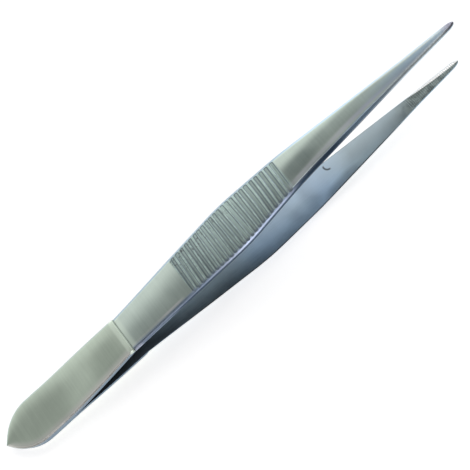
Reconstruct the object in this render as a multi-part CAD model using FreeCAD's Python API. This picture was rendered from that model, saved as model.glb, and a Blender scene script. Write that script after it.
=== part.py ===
import FreeCAD, Part
import math
import os

# Thumb forceps with fine points: two spring steel arms, welded face to face at the butt.
# Lengths are in millimetres and angles in degrees. Each arm is drawn in the arm frame:
# x runs from the point of the butt to the jaws, y across the arm, and z outwards from the
# middle plane, on which the welded faces meet.

# Overall length, and the places along it
length = 115.0
weld_end = 12.4
step_place = 33.2
grip_start = 49.0
grip_corner = 63.2
jaw_bend_start = 74.3
serration_start = 102.5

# Side view: each arm leaves the middle plane after the weld and turns back at the jaw
spread_angle = 8.4
spread_radius = 40.0
jaw_angle = -0.6
jaw_bend_radius = 39.0

# Plan view: widths from edge to edge
plate_width = 9.2
neck_width = 7.68
grip_width = 9.57
tip_width = 0.6
point_half_angle = 51.5
plate_shoulder_radius = 9.3
grip_corner_radius = 62.0

# Thickness of an arm, square to its faces
plate_thickness = 1.25
neck_thickness = 0.9
grip_thickness = 1.35
tip_thickness = 0.75

# Edges: the plate has a round rim and rolls down to the neck, the rest has two long bevels
plate_edge_radius = 0.42
plate_roll_radius = 0.9
neck_bevel = 0.5
grip_bevel = 0.6
tip_bevel = 0.22

# Grip: round-bottomed grooves across the outer face
groove_first = 50.1
groove_pitch = 1.15
groove_count = 23
groove_radius = 0.5
groove_depth = 0.22

# Jaws: fine teeth across the inner face
serration_pitch = 0.62
serration_depth = 0.13
serration_half_angle = 50.0
plain_nib = 0.8

# Working values that carry no size of the object
curve_steps = 6
tilt_samples = 400
over = 1.0
same = 0.003


def vector(x, y, z):
    return FreeCAD.Vector(x, y, z)


def tan(angle):
    return math.tan(math.radians(angle))


def sin(angle):
    return math.sin(math.radians(angle))


def cos(angle):
    return math.cos(math.radians(angle))


def blend(x, x0, x1, value0, value1):
    """Straight change from value0 at x0 to value1 at x1, level outside them."""
    share = min(max((x - x0) / (x1 - x0), 0.0), 1.0)
    return value0 + share * (value1 - value0)


# Side view of the inner face: flat weld, bend, straight arm, bend, straight jaw
spread_end = weld_end + spread_radius * sin(spread_angle)
spread_height = spread_radius * (1.0 - cos(spread_angle))
jaw_bend_height = spread_height + (jaw_bend_start - spread_end) * tan(spread_angle)
jaw_centre_x = jaw_bend_start + jaw_bend_radius * sin(spread_angle)
jaw_centre_z = jaw_bend_height - jaw_bend_radius * cos(spread_angle)
jaw_bend_end = jaw_centre_x - jaw_bend_radius * sin(jaw_angle)
jaw_height = jaw_centre_z + jaw_bend_radius * cos(jaw_angle)


def inner_height(x):
    """Height of the inner face above the middle plane."""
    if x <= weld_end:
        return 0.0
    if x <= spread_end:
        return spread_radius - math.sqrt(spread_radius**2 - (x - weld_end) ** 2)
    if x <= jaw_bend_start:
        return spread_height + (x - spread_end) * tan(spread_angle)
    if x <= jaw_bend_end:
        return jaw_centre_z + math.sqrt(jaw_bend_radius**2 - (x - jaw_centre_x) ** 2)
    return jaw_height + (x - jaw_bend_end) * tan(jaw_angle)


def slope(x):
    """Angle of the inner face against the middle plane."""
    if x <= weld_end:
        return 0.0
    if x <= spread_end:
        return math.degrees(math.asin((x - weld_end) / spread_radius))
    if x <= jaw_bend_start:
        return spread_angle
    if x <= jaw_bend_end:
        return math.degrees(math.asin((jaw_centre_x - x) / jaw_bend_radius))
    return jaw_angle


def blade_thickness(x):
    """Neck to grip to tip, square to the faces."""
    if x <= grip_start:
        return blend(x, step_place, grip_start, neck_thickness, grip_thickness)
    return blend(x, jaw_bend_end, length, grip_thickness, tip_thickness)


def bevel(x):
    """Legs of the long bevels, which follow the thickness."""
    if x <= grip_start:
        return blend(x, step_place, grip_start, neck_bevel, grip_bevel)
    return blend(x, jaw_bend_end, length, grip_bevel, tip_bevel)


def outer_height(x):
    """Height of the outer face of neck, grip and jaw above the middle plane."""
    return inner_height(x) + blade_thickness(x) / cos(slope(x))


# Plan view of neck, grip and jaw: two straight tapers, joined by an arc at the widest place
neck_slope = (grip_width - neck_width) / 2 / (grip_corner - step_place)
jaw_slope = (grip_width - tip_width) / 2 / (length - grip_corner)
neck_turn = math.degrees(math.atan(neck_slope))
jaw_turn = math.degrees(math.atan(jaw_slope))
corner_tangent = grip_corner_radius * tan((neck_turn + jaw_turn) / 2)
corner_start = grip_corner - corner_tangent * cos(neck_turn)
corner_end = grip_corner + corner_tangent * cos(jaw_turn)
corner_centre_x = corner_start + grip_corner_radius * sin(neck_turn)
corner_centre_y = (
    neck_width / 2
    + (corner_start - step_place) * neck_slope
    - grip_corner_radius * cos(neck_turn)
)


def half_width(x):
    """Half the width of neck, grip and jaw."""
    if x <= corner_start:
        return neck_width / 2 + (x - step_place) * neck_slope
    if x <= corner_end:
        return corner_centre_y + math.sqrt(grip_corner_radius**2 - (x - corner_centre_x) ** 2)
    return tip_width / 2 + (length - x) * jaw_slope


def corner_arc(before, corner, after, radius):
    """Arc tangent to the lines before-corner and corner-after."""
    back = (before - corner).normalize()
    ahead = (after - corner).normalize()
    half = back.getAngle(ahead) / 2
    reach = radius / math.tan(half)
    towards = (back + ahead).normalize()
    centre = corner + towards * (radius / math.sin(half))
    return Part.Arc(corner + back * reach, centre - towards * radius, corner + ahead * reach)


def level_arc(start, end):
    """Arc in plan that leaves start along x and falls away to end."""
    run = end.x - start.x
    fall = start.y - end.y
    radius = (run**2 + fall**2) / (2 * fall)
    turn = math.asin(run / radius) / 2
    middle = start + vector(radius * math.sin(turn), -radius * (1 - math.cos(turn)), 0)
    return Part.Arc(start, middle, end)


def plate_outline():
    """Plan of the butt plate: a pointed end with round shoulders, and slightly bowed sides."""
    shoulder_x = plate_width / 2 / tan(point_half_angle)
    point = vector(0, 0, 0)
    corner = vector(shoulder_x, plate_width / 2, 0)
    end = vector(step_place, neck_width / 2, 0)
    shoulder = corner_arc(point, corner, vector(step_place, corner.y, 0), plate_shoulder_radius)
    left = [
        Part.LineSegment(point, shoulder.StartPoint).toShape(),
        shoulder.toShape(),
        level_arc(shoulder.EndPoint, end).toShape(),
    ]
    right = [edge.mirror(point, vector(0, 1, 0)) for edge in left]
    close = Part.LineSegment(end, vector(end.x, -end.y, 0)).toShape()
    return Part.Face(Part.Wire(Part.__sortEdges__(left + [close] + right)))


def plate_side_view():
    """Side view of the butt plate: weld land, bend and straight stretch that rolls off."""
    along = vector(cos(spread_angle), 0, sin(spread_angle))
    out = vector(-sin(spread_angle), 0, cos(spread_angle))
    bend_centre = vector(weld_end, 0, spread_radius)
    inner_end = vector(step_place, 0, inner_height(step_place))
    foot = inner_end + along * (neck_thickness * tan(spread_angle)) + out * neck_thickness
    drop = plate_thickness - neck_thickness
    roll_turn = math.degrees(math.acos(1 - drop / plate_roll_radius))
    roll_start = foot - along * (plate_roll_radius * sin(roll_turn)) + out * drop
    roll_centre = roll_start - out * plate_roll_radius

    def on_bend(radius, angle):
        return bend_centre + vector(radius * sin(angle), 0, -radius * cos(angle))

    def on_roll(angle):
        turned = along * sin(angle) + out * cos(angle)
        return roll_centre + turned * plate_roll_radius

    inner = spread_radius
    outer = spread_radius - plate_thickness
    middle = spread_angle / 2
    edges = [
        Part.LineSegment(vector(0, 0, 0), vector(weld_end, 0, 0)),
        Part.Arc(on_bend(inner, 0), on_bend(inner, middle), on_bend(inner, spread_angle)),
        Part.LineSegment(on_bend(inner, spread_angle), inner_end),
        Part.LineSegment(inner_end, foot),
        Part.Arc(foot, on_roll(roll_turn / 2), roll_start),
        Part.LineSegment(roll_start, on_bend(outer, spread_angle)),
        Part.Arc(on_bend(outer, spread_angle), on_bend(outer, middle), on_bend(outer, 0)),
        Part.LineSegment(on_bend(outer, 0), vector(0, 0, plate_thickness)),
        Part.LineSegment(vector(0, 0, plate_thickness), vector(0, 0, 0)),
    ]
    return Part.Face(Part.Wire([edge.toShape() for edge in edges]))


def is_plate_rim(edge):
    """True for the edges that run along the plate's outer face, in the roll too."""
    middle = edge.valueAt((edge.FirstParameter + edge.LastParameter) / 2)
    above = middle.z - inner_height(middle.x)
    return above > neck_thickness + same and abs(middle.y) > same and not is_upright(edge)


def is_upright(edge):
    """True for the edge at the point of the butt, which runs through the thickness."""
    start, end = edge.Vertexes[0].Point, edge.Vertexes[-1].Point
    return abs(start.x - end.x) < same and abs(start.y - end.y) < same


def butt_plate():
    """The thick plate at the butt, with its outer rim rounded."""
    side = plate_side_view()
    side.translate(vector(0, -plate_width, 0))
    side = side.extrude(vector(0, 2 * plate_width, 0))
    plan = plate_outline()
    plan.translate(vector(0, 0, -over))
    plan = plan.extrude(vector(0, 0, inner_height(step_place) + plate_thickness + 2 * over))
    plate = side.common(plan)
    rim = [edge for edge in plate.Edges if is_plate_rim(edge)]
    return plate.makeFillet(plate_edge_radius, rim)


def section(x):
    """Bevelled outline of the blade, cut square to the arm frame at x."""
    y = half_width(x)
    low = inner_height(x)
    high = outer_height(x)
    cut = bevel(x)
    right = [vector(x, y, low), vector(x, y, high - cut), vector(x, y - cut, high)]
    left = [vector(x, -p.y, p.z) for p in reversed(right)]
    return Part.makePolygon(right + left + right[:1])


def blade_span(start, end, steps):
    """One stretch of the blade: flat faces with one step, smoothly curved with more."""
    places = [start + (end - start) * i / steps for i in range(steps + 1)]
    return Part.makeLoft([section(x) for x in places], True, steps == 1)


def blade():
    """Neck, grip and jaw: flat stretches, and the two curves between them."""
    bends = [(corner_start, corner_end), (jaw_bend_start, jaw_bend_end)]
    flat_marks = [step_place, grip_start] + [mark for bend in bends for mark in bend] + [length]
    spans = []
    for start, end in zip(flat_marks, flat_marks[1:]):
        steps = curve_steps if (start, end) in bends else 1
        spans.append(blade_span(start, end, steps))
    return spans


def grooves():
    """Round cutters for the grip, square to the outer face, each as deep as the next."""
    cutters = []
    for i in range(groove_count):
        x = groove_first + i * groove_pitch
        out = groove_radius - groove_depth
        axis_x = x - out * sin(slope(x))
        axis_z = outer_height(x) + out * cos(slope(x))
        reach = grip_width / 2 + over
        foot = vector(axis_x, -reach, axis_z)
        cutters.append(Part.makeCylinder(groove_radius, 2 * reach, foot, vector(0, 1, 0)))
    return cutters


def serrations():
    """Three-sided cutters for the fine teeth on the inner face of the jaw."""
    cutters = []
    half = serration_depth * tan(serration_half_angle)
    count = int((length - plain_nib - serration_start) / serration_pitch)
    for i in range(count):
        x = serration_start + (i + 0.5) * serration_pitch
        face = inner_height(x)
        wide = half * (serration_depth + over) / serration_depth
        reach = half_width(serration_start) + over
        corners = [
            vector(x - wide, -reach, face - over),
            vector(x, -reach, face + serration_depth),
            vector(x + wide, -reach, face - over),
        ]
        tooth_gap = Part.Face(Part.makePolygon(corners + corners[:1]))
        cutters.append(tooth_gap.extrude(vector(0, 2 * reach, 0)))
    return cutters


def tip_corners():
    """What is cut away to leave the tip round in plan."""
    radius = tip_width / 2
    height = outer_height(length) + 2 * over
    corner = vector(length - radius, -radius - over, 0)
    block = Part.makeBox(radius + over, 2 * (radius + over), height, corner)
    keep = Part.makeCylinder(radius, height, vector(length - radius, 0, 0))
    return block.cut(keep)


def arm():
    """One whole arm in the arm frame, cut from one piece of steel."""
    body = butt_plate().multiFuse(blade()).removeSplitter()
    body = body.cut(Part.makeCompound(grooves()))
    body = body.cut(Part.makeCompound(serrations()))
    body = body.cut(tip_corners())
    return body.Solids[0]


def rest_tilt():
    """Angle at which the lower arm touches the surface, at its butt and at its bend."""
    angles = []
    for i in range(1, tilt_samples + 1):
        x = step_place + (length - step_place) * i / tilt_samples
        angles.append(math.degrees(math.atan2(outer_height(x) - plate_thickness, x)))
    return max(angles)


def forceps():
    """Both arms as they lie at rest, with the origin under the middle of the pair."""
    upper = arm()
    lower = upper.mirror(vector(0, 0, 0), vector(0, 0, 1))
    pair = [upper, lower]
    for piece in pair:
        piece.rotate(vector(0, 0, 0), vector(0, 1, 0), -rest_tilt())
    box = Part.makeCompound(pair).optimalBoundingBox(False)
    for piece in pair:
        piece.translate(vector(-box.Center.x, 0, -box.ZMin))
    return {"upper_arm": upper, "lower_arm": lower}


os.makedirs("parts", exist_ok=True)
for name, piece in forceps().items():
    piece.exportStep("parts/" + name + ".step")
    box = piece.optimalBoundingBox(False)
    print(name, piece.isValid(), len(piece.Solids), "solid", len(piece.Faces), "faces")
    print("  volume", round(piece.Volume, 2), "box", box)
print("tilt at rest", round(rest_tilt(), 3))
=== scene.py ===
# %% [markdown]
# # Thumb forceps
# Fine-point forceps are two strips of spring steel, laid face to face and welded at the butt.
# They leave each other at the weld, carry a ridged grip where the fingers press, turn back
# towards the tips, and end in fine toothed jaws. This notebook dresses the two arms.

# %% Load the frame
import math

import bpy
import bmesh
import numpy as np
from mathutils import Matrix, Vector


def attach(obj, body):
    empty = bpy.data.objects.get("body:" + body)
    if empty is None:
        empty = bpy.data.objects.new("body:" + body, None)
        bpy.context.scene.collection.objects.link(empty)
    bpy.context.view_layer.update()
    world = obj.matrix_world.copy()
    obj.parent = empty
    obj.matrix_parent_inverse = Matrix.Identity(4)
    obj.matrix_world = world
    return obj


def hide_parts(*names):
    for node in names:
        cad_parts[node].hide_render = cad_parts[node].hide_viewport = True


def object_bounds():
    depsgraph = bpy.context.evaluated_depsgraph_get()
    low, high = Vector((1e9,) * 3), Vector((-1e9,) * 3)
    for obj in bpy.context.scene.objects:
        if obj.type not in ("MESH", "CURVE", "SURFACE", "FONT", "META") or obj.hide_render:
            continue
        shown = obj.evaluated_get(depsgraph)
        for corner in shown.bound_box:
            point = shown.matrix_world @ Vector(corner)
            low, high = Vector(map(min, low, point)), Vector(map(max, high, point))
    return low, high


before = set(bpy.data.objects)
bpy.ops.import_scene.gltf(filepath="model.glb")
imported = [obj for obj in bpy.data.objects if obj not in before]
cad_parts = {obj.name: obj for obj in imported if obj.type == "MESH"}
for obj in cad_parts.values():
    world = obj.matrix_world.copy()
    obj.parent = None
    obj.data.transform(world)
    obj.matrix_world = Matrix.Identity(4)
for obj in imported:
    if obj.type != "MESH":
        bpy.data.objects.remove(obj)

CAD_BOX = [list(corner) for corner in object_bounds()]
print("nodes", sorted(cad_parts), "box", CAD_BOX)

# %% [markdown]
# ## Sizes
# A maker draws one arm in its own frame: x from the point of the butt to the jaws, y across,
# z out from the plane on which the two arms meet. Those are the driving sizes, in
# millimetres. The arms at rest lie tilted, which the last step of the shape works out.

# %% Driving sizes
MM = 0.001
LENGTH, WELD_END, STEP, GRIP_START = 115.0, 12.4, 33.2, 49.0
GRIP_CORNER, JAW_BEND, TEETH_START = 63.2, 74.3, 102.5
SPREAD, SPREAD_RADIUS = math.radians(8.4), 40.0
JAW_ANGLE, JAW_BEND_RADIUS = math.radians(-0.6), 39.0
PLATE_WIDTH, NECK_WIDTH, GRIP_WIDTH, TIP_WIDTH = 9.2, 7.68, 9.57, 0.6
POINT_ANGLE, SHOULDER_RADIUS, CORNER_RADIUS = math.radians(51.5), 9.3, 62.0
PLATE_THICK, NECK_THICK, GRIP_THICK, TIP_THICK = 1.25, 0.9, 1.35, 0.75
RIM_RADIUS, ROLL_RADIUS = 0.36, 2.2
NECK_BEVEL, GRIP_BEVEL, TIP_BEVEL = 0.5, 0.6, 0.22
print("arm of", LENGTH, "mm with a grip", GRIP_WIDTH, "mm wide")

# %% [markdown]
# ## The side view
# Seen from the side, an arm is straight, bent, straight, bent and straight again. Each bend
# is a true arc, so its height and its slope come from the circle's own formula. `np.select`
# picks the right stretch for a whole array of places at once.

# %% Side view
SPREAD_END = WELD_END + SPREAD_RADIUS * math.sin(SPREAD)
SPREAD_HEIGHT = SPREAD_RADIUS * (1 - math.cos(SPREAD))
BEND_HEIGHT = SPREAD_HEIGHT + (JAW_BEND - SPREAD_END) * math.tan(SPREAD)
BEND_X = JAW_BEND + JAW_BEND_RADIUS * math.sin(SPREAD)
BEND_Z = BEND_HEIGHT - JAW_BEND_RADIUS * math.cos(SPREAD)
BEND_END = BEND_X - JAW_BEND_RADIUS * math.sin(JAW_ANGLE)
JAW_HEIGHT = BEND_Z + JAW_BEND_RADIUS * math.cos(JAW_ANGLE)


def circle(radius, offset):
    """Height of a circle of that radius at an offset from its centre: root of r2 - offset2."""
    return np.sqrt(np.clip(radius**2 - offset**2, 0, None))


def stretches(x, values):
    """One value per stretch of the side view: weld, bend, arm, bend, jaw."""
    limits = [x <= WELD_END, x <= SPREAD_END, x <= JAW_BEND, x <= BEND_END]
    return np.select(limits, values[:4], values[4])


def inner_height(x):
    """Height of the inner face: level, circle, line, circle, line."""
    return stretches(x, [
        0 * x,
        SPREAD_RADIUS - circle(SPREAD_RADIUS, x - WELD_END),
        SPREAD_HEIGHT + (x - SPREAD_END) * math.tan(SPREAD),
        BEND_Z + circle(JAW_BEND_RADIUS, x - BEND_X),
        JAW_HEIGHT + (x - BEND_END) * math.tan(JAW_ANGLE),
    ])


def slope(x):
    """Angle of the arm: zero, then arc sine of the way round each circle."""
    return stretches(x, [
        0 * x,
        np.arcsin(np.clip((x - WELD_END) / SPREAD_RADIUS, -1, 1)),
        SPREAD + 0 * x,
        np.arcsin(np.clip((BEND_X - x) / JAW_BEND_RADIUS, -1, 1)),
        JAW_ANGLE + 0 * x,
    ])


def thickness(x):
    """Plate, then neck to grip, grip, and grip to tip, each a straight change."""
    neck = np.interp(x, [STEP, GRIP_START], [NECK_THICK, GRIP_THICK])
    jaw = np.interp(x, [BEND_END, LENGTH], [GRIP_THICK, TIP_THICK])
    roll = PLATE_THICK - ROLL_RADIUS + circle(ROLL_RADIUS, np.clip(x - ROLL_START, 0, None))
    roll = np.where(x > STEP - STEP_LIP, NECK_THICK, roll)
    return np.select([x <= STEP, x <= BEND_END], [roll, neck], jaw)


ROLL_DROP, STEP_LIP = 0.26, 0.03
ROLL_LENGTH = math.sqrt(ROLL_RADIUS**2 - (ROLL_RADIUS - ROLL_DROP) ** 2)
ROLL_START = STEP - ROLL_LENGTH
print("arms leave each other by", round(2 * JAW_HEIGHT, 2), "mm at the jaws")

# %% [markdown]
# ## The plan view
# From above, the butt is a pointed arch, the neck is the narrowest place, the grip is the
# widest, and the jaw is one long straight taper. The outline is a function of x again, with
# its steepness, because a rim has to be the same width all round a curved edge.

# %% Plan view
NECK_RISE = (GRIP_WIDTH - NECK_WIDTH) / 2 / (GRIP_CORNER - STEP)
JAW_FALL = (GRIP_WIDTH - TIP_WIDTH) / 2 / (LENGTH - GRIP_CORNER)
NECK_TURN, JAW_TURN = math.atan(NECK_RISE), math.atan(JAW_FALL)
TANGENT = CORNER_RADIUS * math.tan((NECK_TURN + JAW_TURN) / 2)
CORNER_START = GRIP_CORNER - TANGENT * math.cos(NECK_TURN)
CORNER_END = GRIP_CORNER + TANGENT * math.cos(JAW_TURN)
CORNER_X = CORNER_START + CORNER_RADIUS * math.sin(NECK_TURN)
CORNER_Y = (NECK_WIDTH / 2 + (CORNER_START - STEP) * NECK_RISE
            - CORNER_RADIUS * math.cos(NECK_TURN))
SHOULDER_REACH = SHOULDER_RADIUS * math.tan(POINT_ANGLE / 2)
SHOULDER_CORNER = PLATE_WIDTH / 2 / math.tan(POINT_ANGLE)
SHOULDER_START = SHOULDER_CORNER - SHOULDER_REACH * math.cos(POINT_ANGLE)
SHOULDER_END = SHOULDER_CORNER + SHOULDER_REACH
SIDE_FALL = (PLATE_WIDTH - NECK_WIDTH) / 2
SIDE_RADIUS = ((STEP - SHOULDER_END) ** 2 + SIDE_FALL**2) / (2 * SIDE_FALL)
NOSE_LENGTH, NOSE_FULL = 1.3, 0.16
FULL_START, FULL_RUN = 104.0, 8.0
STEEPEST = 4.0


def half_width(x):
    """Half the width: line, circle, circle, line, circle, line, and a half ellipse at the end."""
    arch = PLATE_WIDTH / 2 - SHOULDER_RADIUS + circle(SHOULDER_RADIUS, x - SHOULDER_END)
    side = PLATE_WIDTH / 2 - SIDE_RADIUS + circle(SIDE_RADIUS, x - SHOULDER_END)
    full = NOSE_FULL * np.clip((x - FULL_START) / FULL_RUN, 0, 1)
    taper = TIP_WIDTH / 2 + (LENGTH - x) * JAW_FALL + full
    limits = [SHOULDER_START, SHOULDER_END, STEP, CORNER_START, CORNER_END]
    plan = np.select([x <= limit for limit in limits], [
        x * math.tan(POINT_ANGLE),
        arch,
        side,
        NECK_WIDTH / 2 + (x - STEP) * NECK_RISE,
        CORNER_Y + circle(CORNER_RADIUS, x - CORNER_X),
    ], taper)
    return plan * circle(1.0, np.clip((x - LENGTH) / NOSE_LENGTH + 1, 0, 1))


def edge_cosine(x):
    """Cosine of the outline's angle: one over the root of 1 + its steepness squared."""
    steepness = np.clip(np.gradient(half_width(x), x), -STEEPEST, STEEPEST)
    return 1 / np.sqrt(1 + steepness**2)


print("grip is", round(2 * float(half_width(np.array([GRIP_CORNER]))[0]), 2), "mm wide")

# %% [markdown]
# ## Grooves and teeth
# The grip is filed by hand-guided cutters: round-bottomed grooves, a little uneven in depth
# and lean. A groove is a circle pressed into the face, so its depth at any place is the
# circle's own sagitta there. The jaws have much finer three-sided teeth on the inner face.

# %% Grip and jaw detail
GROOVE_FIRST, GROOVE_PITCH, GROOVES = 50.1, 1.15, 23
GROOVE_RADIUS, GROOVE_DEPTH = 0.80, 0.16
GROOVE_LEAN, GROOVE_WANDER, GROOVE_CROWD = 0.065, 0.035, 0.33
LEAN_DROP, DROP_GROOVES, LEAN_SPREAD = 0.075, 4.5, 0.015
BOW_RANGE, DEPTH_RANGE, BOW_STILL = (-0.006, 0.003), (-0.14, 0.10), 8
TOOTH_PITCH, TOOTH_DEPTH, TOOTH_HALF = 0.42, 0.09, 0.107
NIB = 0.8


def groove_cut(x, y, seed):
    """Depth of the grip's grooves: root of r2 - offset2, less the height of the circle's centre.
    The offset is taken from the groove's own line, which leans and wanders a little."""
    rng = np.random.default_rng(seed)
    middle = np.exp(-((np.arange(GROOVES) - GROOVES / 2) / DROP_GROOVES) ** 2)
    lean = GROOVE_LEAN - LEAN_DROP * middle + rng.uniform(-LEAN_SPREAD, LEAN_SPREAD, GROOVES)
    bow = rng.uniform(*BOW_RANGE, GROOVES)
    crowd = GROOVE_CROWD * np.sin(2 * np.pi * np.arange(GROOVES) / (GROOVES - 1))
    shift = crowd + rng.uniform(-GROOVE_WANDER, GROOVE_WANDER, GROOVES)
    depth = GROOVE_DEPTH * (1 + rng.uniform(*DEPTH_RANGE, GROOVES))
    place = (x - GROOVE_FIRST - GROOVE_LEAN * y) / GROOVE_PITCH
    place = place - GROOVE_CROWD / GROOVE_PITCH * np.sin(2 * np.pi * place / (GROOVES - 1))
    number = np.clip(np.rint(place), 0, GROOVES - 1).astype(int)
    line = GROOVE_FIRST + number * GROOVE_PITCH + shift[number]
    offset = x - line - lean[number] * y - bow[number] * (y**2 - BOW_STILL)
    return np.clip(circle(GROOVE_RADIUS, offset) - GROOVE_RADIUS + depth[number], 0, None)


def tooth_cut(x):
    """Depth of the jaw's teeth: a fold of the distance from each tooth gap's middle."""
    place = (x - TEETH_START) / TOOTH_PITCH
    offset = np.abs(place - np.floor(place) - 0.5) * TOOTH_PITCH
    inside = (x > TEETH_START) & (x < LENGTH - NIB)
    return np.where(inside, TOOTH_DEPTH * np.clip(1 - offset / TOOTH_HALF, 0, None), 0.0)


print(GROOVES, "grooves and", int((LENGTH - NIB - TEETH_START) / TOOTH_PITCH), "teeth")

# %% [markdown]
# ## One arm as a surface
# The arm is a profile carried along x. The profile runs from the middle of the inner face,
# round a small lower edge, up the wall, over the bevel or rim, and to the middle of the
# outer face; the other half is its mirror. Every ring has the same number of points, so the
# whole arm is one grid, and both ends close where the width runs out to nothing.

# %% Profile along the arm
WHET, SOFT = 0.07, 0.12
PLATE_CROWN, CROWN, INNER_CROWN = 0.10, 0.26, 0.16
CROWN_RUN, BROAD_HALF = 4, 4
DISH_DEPTH, DISH_RUN = 0.05, 0.6
EDGE_BAND, BAND_SHARE = 0.8, 0.8
INNER_ACROSS = [0, 0.25, 0.5, 0.75, 0.93, 0.99]
EDGE_ACROSS = [0, 0.06, 0.2, 0.34, 0.47, 0.58, 0.66, 0.73, 0.8, 0.9, 1]


def stations():
    """Places along the arm: close together where the form changes fast."""
    spans = [
        (0.0, 1.0, 22), (1.0, 9.0, 56), (9.0, ROLL_START, 56), (ROLL_START, STEP - 0.06, 34),
        (STEP - 0.06, STEP + 0.02, 8), (STEP + 0.02, STEP + 2, 30), (STEP + 2, 49.4, 42),
        (49.4, 76.1, 436), (76.1, TEETH_START, 84), (TEETH_START, LENGTH - NOSE_LENGTH, 290),
    ]
    runs = [np.linspace(a, b, n, endpoint=False) for a, b, n in spans]
    end = LENGTH - NOSE_LENGTH + NOSE_LENGTH * np.sin(np.linspace(0, math.pi / 2, 40))
    return np.concatenate(runs + [end])


def edge_drop(x, inward):
    """How far the outer face falls at a distance inward from the outline.
    Plate: a quarter circle. Elsewhere: a straight bevel with a softly rounded upper edge."""
    bevel = np.interp(x, [STEP, GRIP_START, BEND_END, LENGTH],
                      [NECK_BEVEL, GRIP_BEVEL, GRIP_BEVEL, TIP_BEVEL])
    short = bevel - inward
    cut = (short + np.sqrt(short**2 + SOFT**2)) / 2 - SOFT / 4
    rim = RIM_RADIUS - circle(RIM_RADIUS, np.clip(RIM_RADIUS - inward, 0, RIM_RADIUS))
    return np.where(x < STEP, rim, np.clip(cut, 0, None))


def outer_surface(x, y, half, cosine, seed):
    """Height of the outer face at any place: face, less crown, edge and grooves."""
    face = inner_height(x) + thickness(x) / np.cos(slope(x))
    share = np.abs(y) / np.maximum(half, 1e-6)
    crown = np.interp(x, [STEP, STEP + CROWN_RUN], [PLATE_CROWN, CROWN])
    face = face - crown * share ** np.where(x < STEP, 4, 2) * np.minimum(half / BROAD_HALF, 1)
    dish = np.where(x > STEP, DISH_DEPTH * np.exp((STEP - x) / DISH_RUN), 0)
    bevelled = face - dish - edge_drop(x, (half - np.abs(y)) * cosine)
    grooved = face - groove_cut(x, y, seed)
    return np.minimum(bevelled, grooved), np.clip(bevelled - grooved, 0, None)


def half_profile(x, side, seed):
    """Rings of y and z from the middle of the inner face to the middle of the outer face."""
    half = half_width(x)[:, None]
    cosine = edge_cosine(x)[:, None]
    place = x[:, None]
    crown = INNER_CROWN * np.interp(place, [SPREAD_END, 2 * SPREAD_END], [0, 1])
    floor = inner_height(place)
    whet = np.minimum(WHET, half * 0.3)
    across = np.array([INNER_ACROSS])
    crown = crown * np.minimum(half / BROAD_HALF, 1)
    inner_y = (half - whet) * across
    inner_z = floor + tooth_cut(place) + crown * across**2
    floor = floor + crown
    turn = np.radians([[-90, -60, -30, 0]])
    round_y = half - whet + whet * np.cos(turn)
    round_z = floor + whet + whet * np.sin(turn) + tooth_cut(place) * (np.sin(turn) < -0.4)
    top, _ = outer_surface(place, half * side, half, cosine, seed)
    climb = np.array([[0.1, 0.5, 0.93]])
    wall_z = floor + whet + (top - floor - whet) * climb
    wall_y = half + 0 * wall_z
    band = np.minimum(EDGE_BAND / cosine, half * BAND_SHARE)
    edge_y = half - band * np.array([EDGE_ACROSS])
    face_y = (half - band) * np.linspace(0.9, 0, 10)[None, :]
    outer_y = np.concatenate([edge_y, face_y], axis=1)
    outer_z, cut = outer_surface(place, outer_y * side, half, cosine, seed)
    y = np.concatenate([inner_y, round_y, wall_y, outer_y], axis=1)
    z = np.concatenate([inner_z, round_z, wall_z, outer_z], axis=1)
    side_y = np.concatenate([round_y, wall_y], axis=1)
    face = np.concatenate([0 * inner_y, 0.5 + 0 * side_y, 1 + 0 * outer_y], axis=1)
    inward = (half - y) * cosine
    under = tooth_cut(place) + 0 * np.concatenate([inner_y, side_y], axis=1)
    zone = np.stack([face, inward, np.concatenate([under, cut], axis=1)], axis=-1)
    return y * side, z, zone, y * side / np.maximum(half, 1e-6)


def arm_grid(seed):
    """Whole rings: one half profile, then the other half's mirror back to the start."""
    x = stations()
    halves = [half_profile(x, side, seed) for side in (-1, 1)]
    y, z, zone, share = [np.concatenate([near, far[:, -2:0:-1]], axis=1)
                         for near, far in zip(*halves)]
    return np.stack([x[:, None] + 0 * y, y, z], axis=2), zone, share


print("rings along an arm:", len(stations()))

# %% [markdown]
# ## At rest
# Laid on a table, the pair rocks until its lower arm touches at the butt and at the bend.
# That tilt is the steepest line from the butt to any place on the outer face. The pair is
# turned by it about the y axis, lifted on to the table, and slid along x until its tips
# reach the far end of the frame's box.

# %% Tilt and meshes
TIP_SHARE = 0.9
MERGE_GAP, THIN_EDGE = 2e-7, 1e-8
REST_X = np.linspace(STEP + 0.2, LENGTH, 400)
OUTER = inner_height(REST_X) + thickness(REST_X) / np.cos(slope(REST_X))
TILT = float(np.arctan2(OUTER - PLATE_THICK, REST_X).max())
LIFT = PLATE_THICK * math.cos(TILT)
SHIFT = CAD_BOX[1][0] / MM - (LENGTH * math.cos(TILT)
                              + float(inner_height(np.array([LENGTH]))[0]) * math.sin(TILT))
SHIFT -= TIP_THICK * math.sin(TILT) * TIP_SHARE


def at_rest(points, side):
    """Mirror for the lower arm, turn by the tilt, lift, and slide along x; millimetres to metres.
    """
    x, y, z = points[..., 0], points[..., 1], points[..., 2] * side
    turned_x = x * math.cos(TILT) - z * math.sin(TILT) + SHIFT
    turned_z = x * math.sin(TILT) + z * math.cos(TILT) + LIFT
    return np.stack([turned_x, y, turned_z], axis=-1) * MM


def grid_faces(rings, points, flip):
    """Four corners of every cell of a grid that is closed round its rings."""
    ring, point = np.meshgrid(np.arange(rings - 1), np.arange(points), indexing="ij")
    after = (point + 1) % points
    cells = [ring * points + point, ring * points + after,
             (ring + 1) * points + after, (ring + 1) * points + point]
    return np.stack(cells[::-1] if flip else cells, axis=-1).reshape(-1, 4)


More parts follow.
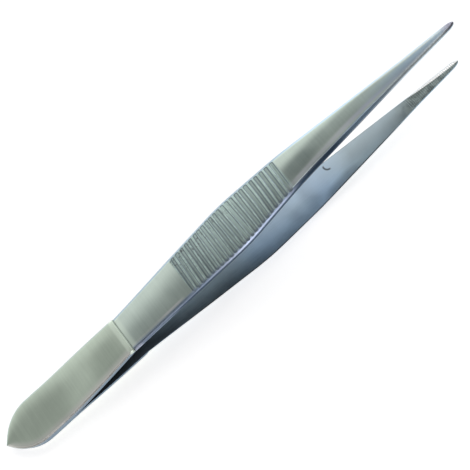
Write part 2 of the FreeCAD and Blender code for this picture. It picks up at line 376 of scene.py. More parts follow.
def mesh_from_grid(name, points, attributes, flip):
    """A closed mesh from a grid of points, with one value per point for each attribute."""
    mesh = bpy.data.meshes.new(name)
    faces = grid_faces(points.shape[0], points.shape[1], flip)
    mesh.from_pydata(points.reshape(-1, 3), [], faces.tolist())
    for title, values in attributes.items():
        kind, field = ("FLOAT_VECTOR", "vector") if values.ndim == 3 else ("FLOAT", "value")
        kept = mesh.attributes.new(title, kind, "POINT")
        kept.data.foreach_set(field, values.reshape(-1).astype(np.float32))
    work = bmesh.new()
    work.from_mesh(mesh)
    bmesh.ops.remove_doubles(work, verts=work.verts, dist=MERGE_GAP)
    bmesh.ops.dissolve_degenerate(work, edges=work.edges, dist=THIN_EDGE)
    work.to_mesh(mesh)
    work.free()
    mesh.shade_smooth()
    return mesh


def make_arm(name, node, side, seed):
    """One arm in its place, standing for its CAD node."""
    points, zone, share = arm_grid(seed)
    values = {"arm": points * [1, 1, side], "zone": zone, "share": share}
    mesh = mesh_from_grid(name, at_rest(points, side), values, side < 0)
    piece = bpy.data.objects.new(name, mesh)
    bpy.context.scene.collection.objects.link(piece)
    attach(piece, "root")
    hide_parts(node)
    print(name, len(mesh.vertices), "points", len(mesh.polygons), "faces")
    return piece


upper = make_arm("upper_arm_steel", "upper_arm", 1, 11)
lower = make_arm("lower_arm_steel", "lower_arm", -1, 12)

# %% [markdown]
# ## Shader maths as expressions
# A `Socket` wraps one output of a node tree. Adding or multiplying two of them adds a Math
# node, so a formula for the steel reads like any other formula.

# %% Socket class
class Socket:
    """One output of a node tree, with ordinary arithmetic."""

    def __init__(self, tree, link):
        self.tree, self.link = tree, link

    def node(self, kind, settings=None, inputs=None, out=0):
        """Any node by type: its settings, then values or links by socket name or number."""
        made = self.tree.nodes.new(kind)
        for key, value in (settings or {}).items():
            setattr(made, key, value)
        for key, value in (inputs or {}).items():
            if isinstance(value, Socket):
                self.tree.links.new(value.link, made.inputs[key])
            else:
                made.inputs[key].default_value = value
        return Socket(self.tree, made.outputs[out])

    def output(self, other, name):
        """Another output, by name, of the node that a socket belongs to."""
        return Socket(self.tree, other.link.node.outputs[name])

    def math(self, operation, other=0.0):
        """A Math node with this socket first and the other value second."""
        return self.node("ShaderNodeMath", {"operation": operation}, {0: self, 1: other})

    def __add__(self, other):
        return self.math("ADD", other)

    def __mul__(self, other):
        return self.math("MULTIPLY", other)

    def __sub__(self, other):
        return self.math("SUBTRACT", other)

    def __rsub__(self, other):
        return self.node("ShaderNodeMath", {"operation": "SUBTRACT"}, {0: other, 1: self})

    def __truediv__(self, other):
        return self.math("DIVIDE", other)

    __radd__ = __add__
    __rmul__ = __mul__

    def step(self, low, high):
        """0 below low, 1 above high, smooth between."""
        return self.node("ShaderNodeMapRange", {"interpolation_type": "SMOOTHSTEP"},
                         {0: self, 1: low, 2: high})

    def near(self, value, core, reach):
        """1 within core of a value, smoothly down to 0 at reach from it."""
        return 1 - (self - value).math("ABSOLUTE").step(core, reach)

    def blend(self, dark, light):
        """Colour from dark at 0 to light at 1."""
        return self.node("ShaderNodeMix", {"data_type": "RGBA"},
                         {0: self, 6: dark, 7: light}, out=2)

    def noise(self, scale, detail=3.0):
        """Soft noise from 0 to 1 over the places that this socket holds."""
        return self.node("ShaderNodeTexNoise", {"noise_dimensions": "3D"},
                         {"Vector": self, "Scale": scale, "Detail": detail})


print("sockets can", [name for name in vars(Socket) if not name.startswith("_")])

# %% [markdown]
# ## Where on the arm
# The mesh carries three attributes. `arm` is the place in the arm's own millimetres, with z
# below zero on the lower arm. `zone` tells inner face, wall and outer face apart, and holds
# the distance in from the outline and the depth of a groove. `share` runs from -1 on the
# near side to 1 on the far side. Everything painted below is a formula of these.

# %% Arm fields
NEAR_SHARES = (-0.5, 0.0)


class Arm:
    """What the mesh tells the shader, and the shapes that marks on an arm are made of."""

    def __init__(self, tree):
        self.start = Socket(tree, None)
        self.place = self.read("arm", "Vector")
        self.x, self.y, self.z = self.split(self.place)
        self.face, self.inward, self.cut = self.split(self.read("zone", "Vector"))
        self.share = self.read("share", "Fac")
        self.near = 1 - self.share.step(*NEAR_SHARES)

    def read(self, name, kind):
        """One attribute of the mesh."""
        whole = self.start.node("ShaderNodeAttribute", {"attribute_name": name})
        return whole.output(whole, kind)

    def split(self, vector):
        """The three numbers of a vector."""
        parts = vector.node("ShaderNodeSeparateXYZ", {}, {0: vector})
        return [vector.output(parts, axis) for axis in "XYZ"]

    def between(self, low, high, soft):
        """1 between two places along the arm, 0 elsewhere, with soft ends."""
        return self.x.step(low - soft, low + soft) * (1 - self.x.step(high - soft, high + soft))

    def rim(self, core, reach):
        """1 within core of the outline, smoothly down to 0 at reach in from it."""
        return 1 - self.inward.step(core, reach)

    def rises(self, rows):
        """Sum of smooth rises along the arm, each row being: from, to, height."""
        return sum(self.x.step(low, high) * height for low, high, height in rows)

    def spots(self, rows):
        """Sum of soft ovals, each row being: x, share, length, breadth, height."""
        ovals = []
        for x, share, length, breadth, height in rows:
            along, across = (self.x - x) / length, (self.share - share) / breadth
            ovals.append((1 - (along * along + across * across).step(0, 1)) * height)
        return sum(ovals)

    def streaks(self, scale, detail=2.0):
        """Noise stretched by a different scale along each axis, so that it makes lines."""
        place = self.place.node("ShaderNodeMapping", {}, {"Vector": self.place, "Scale": scale})
        return place.noise(1.0, detail)


print("arm fields ready")

# %% [markdown]
# ## The open outer faces
# The arms are ground across their length on a belt and then tumbled, which leaves bands,
# clouds and fine lines in the tone. A wheel crowns each face a little. Light is painted on
# top: a painted sheen on the far side of each face and painted shade on its near side, soft
# painted dark spots, a darker neck and jaw, and on the jaw a painted highlight narrowing to
# a wedge along the far side, with a painted lighter band low on the near side.
# `sheen_and_grain` adds all that up and picks a tone between shaded and lit steel.

# %% Outer face
PLATE_BRIGHT, PLATE_DULL = (0.80, 0.92, 0.78, 1), (0.265, 0.315, 0.265, 1)
FACE_BRIGHT, FACE_DULL = (0.80, 0.92, 0.83, 1), (0.255, 0.312, 0.295, 1)
BANDS, COARSE, FINE = (0.17, 0.05, 0.05), (2.6, 0.12, 0.3), (9.0, 0.26, 0.9)
# Painted shade: soft dark spots on each stretch, as x, share, length, breadth, height.
PLATE_SHADE_SPOTS = [(8.5, 0.05, 13, 0.95, -0.22), (28, -0.4, 6, 1.1, -0.22)]
NECK_SHADE_SPOTS = [(50, -0.1, 6, 0.9, -0.11)]
JAW_SHADE_SPOTS = [(78.5, -0.15, 6, 0.6, -0.18)]
CLOUD_SCALE, BAND_WEIGHT, CLOUD_WEIGHT, COARSE_WEIGHT = 0.26, 0.14, 0.16, 0.16
JAW_TURN_ON, LOW_TURN_ON, LOW_SHARES = (72, 78), (79, 88), (-0.65, -0.2)
# Painted sheen by side and stretch; below, how much darker the neck and jaw are painted.
PLATE_SHINE, NECK_SHINE, WEDGE_SHINE, LOW_SHINE = 0.20, 0.36, 0.58, 0.40
NECK_DROP, JAW_DROP = 0.20, 0.28
WEDGE_START, WEDGE_LEAN, WEDGE_BREADTH = 78.0, 0.03, 0.58


def grain(arm):
    """Broad bands, clouds and coarse lines, each centred on zero and given its weight."""
    bands, coarse = arm.streaks(BANDS), arm.streaks(COARSE)
    cloud = arm.place.noise(CLOUD_SCALE)
    return ((bands - 0.5) * BAND_WEIGHT + (cloud - 0.5) * CLOUD_WEIGHT
            + (coarse - 0.5) * COARSE_WEIGHT)


def outer_face(arm):
    """Tone = shaded to lit by sheen_and_grain: a half, plus painted sheen by side,
    minus painted shade spots, plus grain.
    """
    plate = 1 - arm.between(STEP + 0.05, LENGTH + 1, 0.1)
    jaw = arm.x.step(*JAW_TURN_ON)
    on_plate = arm.share.step(0.15, 1.0) * PLATE_SHINE + arm.spots(PLATE_SHADE_SPOTS)
    on_neck = arm.share.step(-0.4, 0.65) * NECK_SHINE - NECK_DROP + arm.spots(NECK_SHADE_SPOTS)
    past_lean = arm.share - (arm.x - WEDGE_START) * WEDGE_LEAN
    wedge = past_lean.step(0.0, WEDGE_BREADTH) * WEDGE_SHINE
    low_side = (1 - arm.share.step(*LOW_SHARES)) * arm.x.step(*LOW_TURN_ON) * LOW_SHINE
    on_jaw = wedge + low_side - JAW_DROP + arm.spots(JAW_SHADE_SPOTS)
    sides = plate * on_plate + (1 - plate) * (1 - jaw) * on_neck + jaw * on_jaw
    sheen_and_grain = sides + grain(arm) + 0.5
    return plate.blend(sheen_and_grain.blend(FACE_DULL, FACE_BRIGHT), sheen_and_grain.blend(PLATE_DULL, PLATE_BRIGHT))


print("outer face:", len(PLATE_SHADE_SPOTS + NECK_SHADE_SPOTS + JAW_SHADE_SPOTS), "dull spots")

# %% [markdown]
# ## The grip
# The ridge tops and groove floors get a painted highlight, mottled at random, strongest
# towards the jaws and at the back of the near side. The flanks of the grooves get painted
# shade, and a painted glint runs along each groove's floor. The back of the grip has small
# dark pits, and the near ends of the grooves get painted shade.

# %% Grip
# Painted highlight and shade on ridges and floors, painted shade on the flanks, and the pits.
RIDGE_BRIGHT, RIDGE_DULL = (0.53, 0.67, 0.63, 1), (0.315, 0.40, 0.375, 1)
GROOVE_BRIGHT, GROOVE_DULL = (0.37, 0.465, 0.44, 1), (0.24, 0.31, 0.30, 1)
FLANK_SHADE, PIT_TONE = (0.155, 0.20, 0.215, 1), (0.075, 0.08, 0.085, 1)
# Painted shade in the near ends of the grooves.
GROOVE_END_SHADE = (0.15, 0.17, 0.24, 1)
GRIP_FIRST, GRIP_LAST = 49.5, 76.15
RIDGE_EDGE, FLANK_END, FLOOR_GLINT_START = 0.028, 0.11, 0.13
MOTTLE_SCALE, MOTTLE_LIMITS = (1.6, 0.8, 0.8), (0.36, 0.62)
MOTTLE_LIGHT, FRONT_LIGHT, BACK_LIGHT = 0.6, 0.5, 0.4
FLOOR_GLINT_COVER, PIT_COVER, END_SHADE_COVER = 0.55, 0.8, 0.6
PIT_SCALE, PIT_LIMITS = 1.9, (0.58, 0.68)


def ridge_sheen_and_mottle(arm):
    """Painted highlight on the grip's ridges and floors: mottled, more to the front and low at
    the back.
    """
    back = (1 - arm.x.step(52, 56)) * (1 - arm.share.step(-0.7, 0.3))
    mottle = arm.streaks(MOTTLE_SCALE).step(*MOTTLE_LIMITS)
    front = arm.x.step(60, 70)
    return mottle * MOTTLE_LIGHT + 0.1 + front * FRONT_LIGHT + back * BACK_LIGHT


def grip(arm, colour):
    """Painted lit ridges where nothing is cut, painted shade on flanks where little is, floors
    where the cut is deepest, then a painted glint along each floor, the pits and painted shade
    in the near ends of the grooves."""
    inside, bright = arm.between(GRIP_FIRST, GRIP_LAST, 0.2), ridge_sheen_and_mottle(arm)
    ridge = inside * (1 - arm.cut.step(0, RIDGE_EDGE))
    floor = inside * arm.cut.step(FLANK_END, GROOVE_DEPTH)
    flank = inside * arm.cut.step(0.008, RIDGE_EDGE) * (1 - floor)
    colour = ridge.blend(colour, bright.blend(RIDGE_DULL, RIDGE_BRIGHT))
    colour = flank.blend(colour, FLANK_SHADE)
    colour = floor.blend(colour, bright.blend(GROOVE_DULL, GROOVE_BRIGHT))
    # Painted glint along each groove's floor.
    floor_glint = arm.cut.step(FLOOR_GLINT_START, FLOOR_GLINT_START + 0.02) * arm.between(54, 68, 2)
    colour = (floor_glint * FLOOR_GLINT_COVER).blend(colour, RIDGE_BRIGHT)
    speck = arm.place.noise(PIT_SCALE, 2.0).step(*PIT_LIMITS)
    pits = speck * inside * (1 - arm.x.step(53, 72)) * arm.share.step(-0.6, 0.8)
    colour = (pits * PIT_COVER).blend(colour, PIT_TONE)
    # Painted shade in the near ends of the grooves, where they run into the bevel.
    ends = arm.rim(0.75, 1.0) * arm.cut.step(0.01, 0.05) * arm.near
    return (inside * ends * END_SHADE_COVER).blend(colour, GROOVE_END_SHADE)


print("grip:", GROOVES, "grooves over", round(GRIP_LAST - GRIP_FIRST, 1), "mm")

# %% [markdown]
# ## The plate's edges
# Edges are polished last. The plate's near rim gets a soft painted sheen with a painted
# highlight line on it and painted blue shade where it rolls under, and the far rim is dull
# blue-grey. The roll before the step gets a painted highlight, as does the foot of the step,
# with a fine painted shade line between them.

# %% Plate edges
# Painted highlight on the roll and the step's foot, painted shade at the step, and on the rim a
# painted sheen, highlight line and blue underside shade, with a dull far rim.
ROLL_HIGHLIGHT, STEP_SHADE = (0.88, 1.0, 0.86, 1), (0.25, 0.30, 0.27, 1)
RIM_SHEEN, RIM_HIGHLIGHT = (0.74, 0.75, 0.71, 1), (1.0, 1.0, 0.93, 1)
RIM_UNDER_SHADE, RIM_FAR = (0.19, 0.25, 0.32, 1), (0.42, 0.52, 0.52, 1)
RIM_BAND, RIM_FOOT, FAR_BAND = (0.35, 1.7), (0.03, 0.16), (0.1, 0.45)
RIM_COVER, LINE_COVER, FOOT_COVER = 0.8, 0.85, 0.9
ROLL_COVER, STEP_COVER, STEP_SHADE_COVER = 0.95, 0.35, 0.7


def plate_edges(arm, colour):
    """A painted sheen on the near rim with a painted highlight line and painted blue shade on its
    underside, a dull far rim, painted highlights on the rolled end and the step's foot, and a
    painted shade line at the step."""
    plate = 1 - arm.x.step(STEP - 0.2, STEP)
    near, far = arm.near * plate, (1 - arm.near) * plate
    colour = (arm.rim(*RIM_BAND) * near * RIM_COVER).blend(colour, RIM_SHEEN)
    line = arm.inward.step(0.05, 0.2) * arm.rim(RIM_RADIUS, 0.6) * near
    colour = (line * LINE_COVER).blend(colour, RIM_HIGHLIGHT)
    colour = (arm.rim(*RIM_FOOT) * near * FOOT_COVER).blend(colour, RIM_UNDER_SHADE)
    colour = (arm.rim(*FAR_BAND) * far * RIM_COVER).blend(colour, RIM_FAR)
    roll = arm.between(ROLL_START + 0.1, STEP, 0.45) * ROLL_COVER
    foot = arm.between(STEP + 0.15, STEP + 1.2, 0.4) * STEP_COVER
    colour = roll.math("MAXIMUM", foot).blend(colour, ROLL_HIGHLIGHT)
    step_shade = arm.between(STEP - 0.12, STEP + 0.14, 0.08)
    return (step_shade * STEP_SHADE_COVER).blend(colour, STEP_SHADE)


print("roll of", round(ROLL_LENGTH, 2), "mm before the step")

# %% [markdown]
# ## The bevels
# The near bevel has a painted highlight beside the grip and at the corner after the step, and
# painted shade on the face above it, with a thin painted shade line at its foot. Along the jaw
# a painted highlight line runs on the face instead, and the bevel under it has painted shade
# until the thin front of the jaw, which has painted highlights on both sides of a painted
# blue-grey shade streak. The far bevel gets a painted highlight from the jaw on. The tip
# itself is dull.

# %% Bevels
NECK_DULL, NECK_BRIGHT = (0.30, 0.38, 0.50, 1), (0.48, 0.57, 0.73, 1)
NECK_SHADE, GRIP_SHADE = (0.40, 0.50, 0.62, 1), (0.20, 0.26, 0.29, 1)
# Painted highlights: on the bevel beside the grip, and on the neck's crest.
GRIP_EDGE_HIGHLIGHT, NECK_CREST_HIGHLIGHT = (0.74, 0.81, 0.98, 1), (0.72, 0.72, 0.74, 1)
# Painted highlight line along the jaw's face, paler to the front.
JAW_LINE_HIGHLIGHT, JAW_WASH_HIGHLIGHT = (0.66, 0.70, 0.73, 1), (0.50, 0.53, 0.66, 1)
# Far bevel: dull, then a painted highlight from the jaw on.
FAR_DULL, FAR_BRIGHT = (0.36, 0.48, 0.55, 1), (0.64, 0.82, 0.93, 1)
# Painted shade under the jaw's near bevel, then a painted blue and a pale reflection to the
# front; the tip is dull.
UNDER_SHADE, UNDER_BLUE_REFLECTION = (0.085, 0.13, 0.20, 1), (0.36, 0.50, 0.66, 1)
UNDER_PALE_REFLECTION, TIP_TONE = (0.88, 0.98, 1.0, 1), (0.32, 0.30, 0.38, 1)
# Painted highlight line on the jaw's far edge, and painted shade streak down its front.
FAR_EDGE_HIGHLIGHT, STREAK_SHADE = (0.95, 1.0, 0.98, 1), (0.27, 0.35, 0.43, 1)
LINE_INWARD, LINE_RISES = 1.1, [(78, 92, 0.25), (94, 108, -0.6)]
CREST_INWARD, CREST_RISES = 1.0, [(39, 44, 0.4), (46, 48, -0.6)]
JAW_FACE, JAW_FRONT, FACE_FRONT = (74, 78), (86, 96), (88, 99)
NECK_COVER, GRIP_LESS, JAW_COVER = 0.8, 0.25, 0.75
GRAIN_SCALE, GRAIN_SHIFT, GLINT_INWARD = (0.25, 0.1, 0.1), 0.3, 0.42
# Where the painted highlight on the bevel beside the grip starts and fades.
GRIP_BEVEL_LIT, FRONT_DULL, FRONT_LOSS = (51, 60), (61, 69), 0.35
BRIGHT_DEPTH, DEPTH_LOSS = (0.28, 0.48), 0.75
# Painted highlight at the corner after the step.
CORNER_HIGHLIGHT_SPOT = [(STEP + 0.9, -1.0, 1.7, 0.4, 1.0)]
STREAK_SHARE, STREAK_COVER, FAR_HIGHLIGHT_COVER = -0.08, 0.9, 0.6
UNDER_RISES, UNDER_DEPTH = [(79, 85, -0.1), (92, 100, 0.2)], (0.22, 0.80)
FOOT_DEPTH, FOOT_FROM = (0.08, 0.26), (41, 48)
TIP_REACH, TIP_COVER = (LENGTH - 3.5, LENGTH - 0.8), 0.8


def near_face(arm, colour):
    """Just above the near bevel: painted shade by neck and grip, with a painted highlight on the
    crest where the neck broadens, then a painted highlight line along the jaw."""
    near, jaw = arm.near * arm.x.step(STEP, STEP + 0.2), arm.x.step(*JAW_FACE)
    on_grip = arm.x.step(GRIP_START, GRIP_START + 2)
    strip = (1 - arm.inward.step(GRIP_BEVEL, on_grip * 0.35 + 0.95)) * near * (1 - jaw)
    shade = on_grip.blend(NECK_SHADE, GRIP_SHADE)
    colour = (strip * (NECK_COVER - on_grip * GRIP_LESS)).blend(colour, shade)
    crest = arm.inward.near(CREST_INWARD, 0.05, 0.35) * (arm.rises(CREST_RISES) + 0.2)
    colour = (crest * near * (1 - on_grip)).blend(colour, NECK_CREST_HIGHLIGHT)
    line = arm.inward.near(arm.rises(LINE_RISES) + LINE_INWARD, 0.1, 0.7)
    pale = arm.x.step(*JAW_FRONT).blend(JAW_LINE_HIGHLIGHT, JAW_WASH_HIGHLIGHT)
    return (line * near * jaw * JAW_COVER).blend(colour, pale)


def bevels(arm, colour):
    """The bevel's painted tone by neck, grip and far side, as wide as the bevel is cut: a painted
    glint line on the neck and a painted highlight beside the grip, less so further in and
    towards the jaw, and on the far side a painted highlight from the jaw on."""
    wider = arm.x.step(STEP, GRIP_START) * (GRIP_BEVEL - NECK_BEVEL)
    width = wider + NECK_BEVEL - arm.x.step(80, LENGTH) * (GRIP_BEVEL - TIP_BEVEL)
    wander = arm.inward + arm.streaks(GRAIN_SCALE) * GRAIN_SHIFT
    line = wander.near(GLINT_INWARD, 0.03, 0.12)
    bright = arm.x.step(*GRIP_BEVEL_LIT).math("MAXIMUM", arm.spots(CORNER_HIGHLIGHT_SPOT))
    bright = bright * (1 - arm.inward.step(*BRIGHT_DEPTH) * DEPTH_LOSS)
    bright = bright * (1 - arm.x.step(*FRONT_DULL) * FRONT_LOSS)
    near = bright.blend(line.blend(NECK_DULL, NECK_BRIGHT), GRIP_EDGE_HIGHLIGHT)
    far = arm.x.step(72, 84).blend(FAR_DULL, FAR_BRIGHT)
    cover = (1 - (arm.inward / width).step(0.85, 1.05)) * arm.x.step(STEP, STEP + 0.2)
    uncut = 1 - arm.cut.step(0, RIDGE_EDGE)
    return (cover * uncut).blend(colour, arm.near.blend(far, near))


def jaw_front(arm, colour):
    """The thin front of the jaw: a painted highlight line along its far edge, and painted
    blue-grey shade in a streak down its middle."""
    line = arm.rim(0.3, 0.8) * (1 - arm.near) * arm.x.step(*FACE_FRONT)
    colour = (line * FAR_HIGHLIGHT_COVER).blend(colour, FAR_EDGE_HIGHLIGHT)
    streak = arm.share.near(STREAK_SHARE, 0.2, 0.8) * arm.x.step(91, 106)
    return (streak * STREAK_COVER).blend(colour, STREAK_SHADE)


def jaw_underside(arm, colour):
    """Painted shade on the lower part of the jaw's near bevel, turning to a painted blue and then
    pale reflection to the front, with a thin painted shade line at the bevel's foot behind it,
    and the dull tip."""
    depth = arm.inward + arm.rises(UNDER_RISES)
    under = (1 - depth.step(*UNDER_DEPTH)) * arm.x.step(73, 78)
    under = under.math("MAXIMUM", arm.rim(*FOOT_DEPTH) * arm.x.step(*FOOT_FROM))
    front = arm.x.step(93, 106).blend(UNDER_BLUE_REFLECTION, UNDER_PALE_REFLECTION)
    tone = arm.x.step(85, 92).blend(UNDER_SHADE, front)
    uncut = 1 - arm.cut.step(0, RIDGE_EDGE)
    colour = (under * arm.near * uncut).blend(colour, tone)
    return (arm.x.step(*TIP_REACH) * TIP_COVER).blend(colour, TIP_TONE)


print("bevels from", NECK_BEVEL, "mm at the neck to", GRIP_BEVEL, "mm at the grip")

# %% [markdown]
# ## Inner faces
# The inner face is ground along its length. Deep between the arms it gets painted shade,
# nearly black, for the other arm that is all it reflects there, and painted light that rises
# towards the jaws, where light comes in. The toothed jaw is dull from use, with a patch of
# painted shade, and a painted highlight along its far edge. The lower arm has one small nick
# from a dropped tool.

# %% Inner face
# Painted lit tone, and the painted near-black shade deep between the arms.
INNER_DEEP, INNER_SHADE = (0.62, 0.72, 0.78, 1), (0.12, 0.15, 0.17, 1)
INNER_BLUE, INNER_PALE = (0.57, 0.72, 0.88, 1), (0.60, 0.72, 0.78, 1)
JAW_BRIGHT, JAW_DULL = (0.30, 0.355, 0.35, 1), (0.17, 0.205, 0.205, 1)
# Painted shade patch on the jaw, and the painted highlight along its far edge.
JAW_SHADE, JAW_EDGE_HIGHLIGHT = (0.13, 0.16, 0.155, 1), (1.0, 1.0, 1.0, 1)
NICK_TONE = (0.05, 0.06, 0.07, 1)
NICK_X, NICK_Y, NICK_RADIUS = 83.3, 2.1, 0.95
# Painted light rising along the arm, then soft spots of painted light and shade.
INNER_LIGHT_RISES = [(34, 52, 0.20), (54, 64, 0.10), (60, 95, 0.12)]
INNER_LIGHT_AND_SHADE_SPOTS = [(82, 0.35, 6.5, 1.2, 0.30), (87, 0.1, 11, 1.6, 0.15), (36, 1.0, 14, 0.9, 0.12),
               (84, -0.9, 6, 0.6, -0.25), (74, -0.5, 5, 0.6, -0.12), (43, -0.4, 10, 1.4, 0.11)]
# Where the painted highlight along the jaw's far edge runs.
EDGE_HIGHLIGHT_START, EDGE_HIGHLIGHT_FALL, EDGE_HIGHLIGHT_SHARE = 102.0, 0.09, 1.05
LINE_WANDER, LINE_LIGHT, CLOUD_LIGHT = 10, 0.12, 0.16
FAR_LIGHT, LEAST_LIGHT, LOW_LOSS = 0.15, 0.20, 0.22
SHADE_COVER, EDGE_HIGHLIGHT_COVER, NICK_COVER = 0.7, 0.9, 0.85


def nick(arm):
    """Part of a ring: where the distance from its middle is close to its radius."""
    dx, dy = arm.x - NICK_X, arm.y - NICK_Y
    line = (dx * dx + dy * dy).math("POWER", 0.5).near(NICK_RADIUS, 0.08, 0.26)
    return line * (1 - dx.step(-0.2, 0.2)) * (1 - dy.step(0.1, 0.6)) * (1 - arm.z.step(-1, 0))


def inner_light(arm):
    """How much painted light the face gets: rising along the arm and to its far side, less at
    the near edge behind the jaws, painted light and shade spots, and ground lines.
    """
    place = arm.x + (arm.streaks((0.10, 3.2, 0.9)) - 0.5) * LINE_WANDER
    along = sum(place.step(low, high) * height for low, high, height in INNER_LIGHT_RISES)
    low_edge = (1 - arm.share.step(-1.0, -0.3)) * (1 - arm.x.step(58, 80))
    lines = (arm.streaks((0.35, 9.0, 2.0)) - 0.5) * LINE_LIGHT
    clouds = (arm.place.noise(0.45) - 0.5) * CLOUD_LIGHT
    sides = arm.share * FAR_LIGHT - low_edge * LOW_LOSS
    return along + sides + LEAST_LIGHT + arm.spots(INNER_LIGHT_AND_SHADE_SPOTS) + lines + clouds


def inner_face(arm):
    """Tone = shaded to lit by the painted light, with the worn jaw and a patch of painted shade
    on it, a painted highlight along the far edge that widens towards the tip, and the nick."""
    bright = arm.x.step(78, 90).blend(INNER_BLUE, INNER_PALE)
    bright = arm.x.step(54, 64).blend(INNER_DEEP, bright)
    tone = inner_light(arm).blend(INNER_SHADE, bright)
    wear = arm.place.noise(0.55).step(0.38, 0.62)
    jaw = (arm.x + arm.place.noise(0.45) * 6).step(99, 108)
    tone = jaw.blend(tone, wear.blend(JAW_DULL, JAW_BRIGHT))
    shade = arm.share.step(-0.2, 0.6) * arm.between(103.5, 109, 1.5)
    tone = (shade * SHADE_COVER).blend(tone, JAW_SHADE)
    # Painted highlight along the far edge of the jaw.
    edge_highlight = arm.share + (arm.x - EDGE_HIGHLIGHT_START) * EDGE_HIGHLIGHT_FALL - EDGE_HIGHLIGHT_SHARE
    tone = (edge_highlight.step(-0.08, 0.08) * EDGE_HIGHLIGHT_COVER).blend(tone, JAW_EDGE_HIGHLIGHT)
    return (nick(arm) * NICK_COVER).blend(tone, NICK_TONE)


print("nick of", NICK_RADIUS, "mm radius at", NICK_X, "mm from the butt")

# %% [markdown]
# ## Satin steel
# All the tones meet in one metal. The walls are painted blue shade, near black from the neck
# to the jaw and paler at its thin front. Roughness is that of a satin finish, a little higher on
# the walls, which are only deburred, and fine lines across the arm tilt the surface in a Bump
# node.

# %% Steel material
# Painted shade on the walls: blue, near black from the neck on, paler at the jaw's front.
WALL_TONE, WALL_SHADE = (0.22, 0.30, 0.38, 1), (0.02, 0.03, 0.045, 1)
WALL_PALE = (0.45, 0.6, 0.7, 1)
SATIN, WALL_ROUGHER, LINE_ROUGH, BAND_ROUGH = 0.24, 0.15, 0.08, 0.08
WALL_TURN, WALL_FRONT = (38, 46), (92, 106)
LINE_STRENGTH, LINE_HEIGHT = 0.10, 0.00003


def steel():
    """A metal whose tone is the inner face's, the wall's or the outer face's, by zone."""
    material = bpy.data.materials.new("satin_ground_steel")
    material.use_nodes = True
    tree = material.node_tree
    tree.nodes.clear()
    arm = Arm(tree)
    outer = plate_edges(arm, grip(arm, outer_face(arm)))
    outer = jaw_front(arm, near_face(arm, outer))
    outer = jaw_underside(arm, bevels(arm, outer))
    wall = arm.x.step(*WALL_FRONT).blend(WALL_SHADE, WALL_PALE)
    wall = arm.x.step(*WALL_TURN).blend(WALL_TONE, wall)
    side, top = arm.face.step(0.2, 0.45), arm.face.step(0.7, 0.95)
    colour = top.blend(side.blend(inner_face(arm), wall), outer)
    fine = arm.streaks(FINE)
    rough = fine * LINE_ROUGH + arm.streaks(BANDS) * BAND_ROUGH + SATIN
    rough = rough + side * (1 - top) * WALL_ROUGHER
    bump = arm.start.node("ShaderNodeBump", {}, {
        "Strength": LINE_STRENGTH, "Distance": LINE_HEIGHT, "Height": fine})
    shader = arm.start.node("ShaderNodeBsdfPrincipled", {}, {
        "Base Color": colour, "Roughness": rough, "Metallic": 1.0, "Normal": bump})
    out = tree.nodes.new("ShaderNodeOutputMaterial")
    tree.links.new(shader.link, out.inputs[0])
    return material


STEEL = steel()
for piece in (upper, lower):
    piece.data.materials.append(STEEL)
print(len(STEEL.node_tree.nodes), "nodes in the steel")

# %% [markdown]
# ## The floor
# A pale matt floor takes the shadow. A glow that only the camera and polished faces see lifts
# it to white, so the background is white without more light on the steel.

# %% Floor
FLOOR_SIZE, FLOOR_GREY, FLOOR_LIFT = 3.0, 0.82, 0.62


def plane(name, size):
    """A level square of that size at height zero."""
    mesh = bpy.data.meshes.new(name)
    h = size / 2
    mesh.from_pydata([(-h, -h, 0), (h, -h, 0), (h, h, 0), (-h, h, 0)], [], [(0, 1, 2, 3)])
    piece = bpy.data.objects.new(name, mesh)
    bpy.context.scene.collection.objects.link(piece)
    return piece


def seen_directly(start):
    """1 where the camera, a polished face or glass looks, and 0 for the light that is given."""
    path = start.node("ShaderNodeLightPath")
    glossy = start.output(path, "Is Glossy Ray")
    clear = start.output(path, "Is Transmission Ray")
    return path.math("MAXIMUM", glossy).math("MAXIMUM", clear)


def pale_floor():
    """Matt paper plus a glow that is only seen directly."""
    paper = bpy.data.materials.new("pale_floor")
    paper.use_nodes = True
    tree = paper.node_tree
    tree.nodes.clear()
    sheet = Socket(tree, None)
    grey = (FLOOR_GREY, FLOOR_GREY, FLOOR_GREY, 1)
    matt = sheet.node("ShaderNodeBsdfDiffuse", {}, {"Color": grey})
    glow = sheet.node("ShaderNodeEmission", {}, {
        "Color": (1, 1, 1, 1), "Strength": seen_directly(sheet) * FLOOR_LIFT})
    both = sheet.node("ShaderNodeAddShader", {}, {0: matt, 1: glow})
    out = tree.nodes.new("ShaderNodeOutputMaterial")
    tree.links.new(both.link, out.inputs[0])
    return paper


floor = plane("floor", FLOOR_SIZE)
floor.data.materials.append(pale_floor())
print("floor", FLOOR_SIZE, "m wide")

# %% [markdown]
# ## World and lamps
# Steel shows the room around it. The world is bright behind the arms and dim on the near
# side, as in a room with one large window, and this turns the near bevels darker than the
# faces. The camera itself sees plain white. Three soft lamps stand for the window, the
# ceiling light and a low glint that picks out the bevel beside the grip.

# %% World and lamps
WORLD_LEVEL, NEAR_SIDE = 0.80, 0.15
SIDE_SHARE, HEIGHT_SHARE = 0.8, 0.6
DIM_UNTIL, BRIGHT_FROM = -0.60, 0.15
LAMPS = [
    ("window", (0.36, 0.28, 0.70), 0.30, 0.75, (1.0, 1.0, 0.97)),
    ("near_lamp", (-0.15, -0.35, 0.75), 0.50, 1.3, (1.0, 0.97, 1.0)),
    ("low_lamp", (-0.18, -0.74, 0.233), 0.12, 0.26, (0.90, 0.92, 1.0)),
]


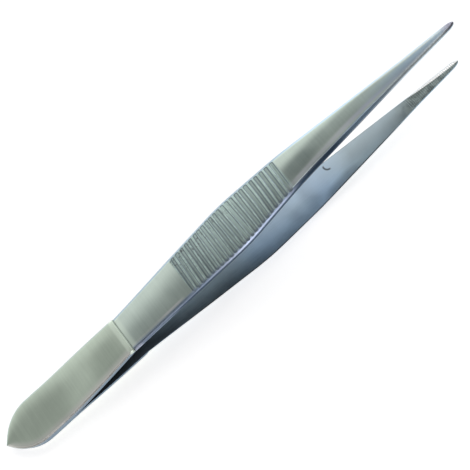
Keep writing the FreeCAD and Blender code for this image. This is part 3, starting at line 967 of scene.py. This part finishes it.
def studio_world():
    """Strength = level times a rise from the near side to the far side; white to the camera."""
    world = bpy.data.worlds.new("studio")
    world.use_nodes = True
    tree = world.node_tree
    tree.nodes.clear()
    air = Socket(tree, None)
    direction = air.node("ShaderNodeSeparateXYZ", {}, {0: air.node("ShaderNodeTexCoord")})
    far_side = (air.output(direction, "Y") * SIDE_SHARE
                - air.output(direction, "Z") * HEIGHT_SHARE)
    room = far_side.step(DIM_UNTIL, BRIGHT_FROM) * (1 - NEAR_SIDE) + NEAR_SIDE
    camera_ray = air.node("ShaderNodeLightPath")
    level = seen_directly(air) * (1 - WORLD_LEVEL) + WORLD_LEVEL
    shade = air.node("ShaderNodeBackground", {}, {
        "Color": (1, 1, 1, 1), "Strength": level * room.math("MAXIMUM", camera_ray)})
    out = tree.nodes.new("ShaderNodeOutputWorld")
    tree.links.new(shade.link, out.inputs[0])
    return world


def lamp(name, place, size, power, colour):
    """A square soft lamp at a place, aimed at the middle of the object."""
    data = bpy.data.lights.new(name, "AREA")
    data.size, data.energy, data.color = size, power, colour
    item = bpy.data.objects.new(name, data)
    bpy.context.scene.collection.objects.link(item)
    item.location = place
    item.rotation_euler = (-Vector(place)).to_track_quat("-Z", "Y").to_euler()
    return item


bpy.context.scene.world = studio_world()
print("lamps", [lamp(*row).name for row in LAMPS])

# %% [markdown]
# ## The camera
# A pinhole camera was fitted to the edges in the photograph. It stands back from an aim point
# along an azimuth and an elevation, and rolls about its view, so that the forceps lie across
# the picture from the lower left to the upper right.

# %% Camera
AIM = np.array([3.35, 1.07, 8.39]) * MM
DISTANCE = 156.94 * MM
AZIMUTH, ELEVATION, ROLL = math.radians(-0.36), math.radians(71.29), math.radians(40.28)
LENS_PIXELS, FRAME_PIXELS, SENSOR = 826.8, 470, 36.0
CLIP_NEAR, CLIP_FAR = 0.005, 10.0


def camera():
    """View = minus the direction given by azimuth and elevation; up = level turned by roll."""
    view = np.array([math.sin(AZIMUTH) * math.cos(ELEVATION),
                     math.cos(AZIMUTH) * math.cos(ELEVATION), -math.sin(ELEVATION)])
    right = np.array([math.cos(AZIMUTH), -math.sin(AZIMUTH), 0.0])
    level = np.cross(right, view)
    up = level * math.cos(ROLL) + right * math.sin(ROLL)
    side = np.cross(view, up)
    turn = Matrix(np.stack([side, up, -view], axis=1).tolist())
    data = bpy.data.cameras.new("camera")
    data.sensor_width, data.lens = SENSOR, LENS_PIXELS / FRAME_PIXELS * SENSOR
    data.clip_start, data.clip_end = CLIP_NEAR, CLIP_FAR
    item = bpy.data.objects.new("camera", data)
    bpy.context.scene.collection.objects.link(item)
    item.matrix_world = Matrix.Translation((AIM - view * DISTANCE).tolist()) @ turn.to_4x4()
    return item


bpy.context.scene.camera = camera()
bpy.context.scene.view_settings.view_transform = "Standard"
print("lens", round(bpy.context.scene.camera.data.lens, 1), "mm")

# %% [markdown] ## Sizes The box round the CAD solids, in metres, is printed when the frame
# is loaded.
